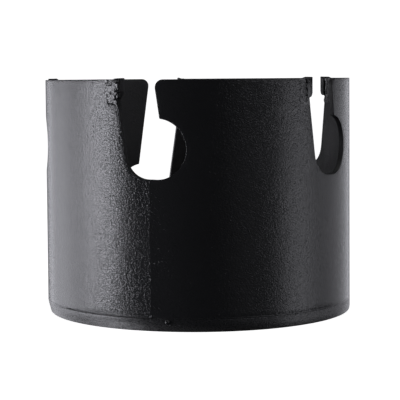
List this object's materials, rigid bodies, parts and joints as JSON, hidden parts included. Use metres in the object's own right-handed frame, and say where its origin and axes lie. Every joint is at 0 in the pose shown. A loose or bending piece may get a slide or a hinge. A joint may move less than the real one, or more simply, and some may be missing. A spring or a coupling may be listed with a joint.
{
  "type": "hole saw",
  "caption": "Deep cylindrical hole saw cup with brazed carbide teeth, slanted chip gullets with round feet, a seam-welded wall and a thick threaded arbor plate.",
  "frame": {"origin": "centre of the underside of the arbor plate", "axes": "+Z along the saw's axis, from the arbor plate to the teeth; -Y is the front of the picture"},
  "size_m": [0.0818, 0.0822, 0.0624],
  "materials": {
    "cup_coating": "black powder coat with a fine wrinkled texture",
    "plate_coating": "black powder coat over the weld and the plate's edge",
    "carbide": "tungsten carbide under the thin coat of a new saw, smoother than the wall",
    "braze": "lumpy braze under the black coat"
  },
  "bodies": {
    "root": {"tube": "cup_coating", "arbor_plate": "plate_coating", "plate_weld": "plate_coating", "carbide_tip_1": "carbide", "braze_1": "braze", "carbide_tip_2": "carbide", "braze_2": "braze", "carbide_tip_3": "carbide", "braze_3": "braze", "carbide_tip_4": "carbide", "braze_4": "braze", "carbide_tip_5": "carbide", "braze_5": "braze"}
  },
  "joints": []
}
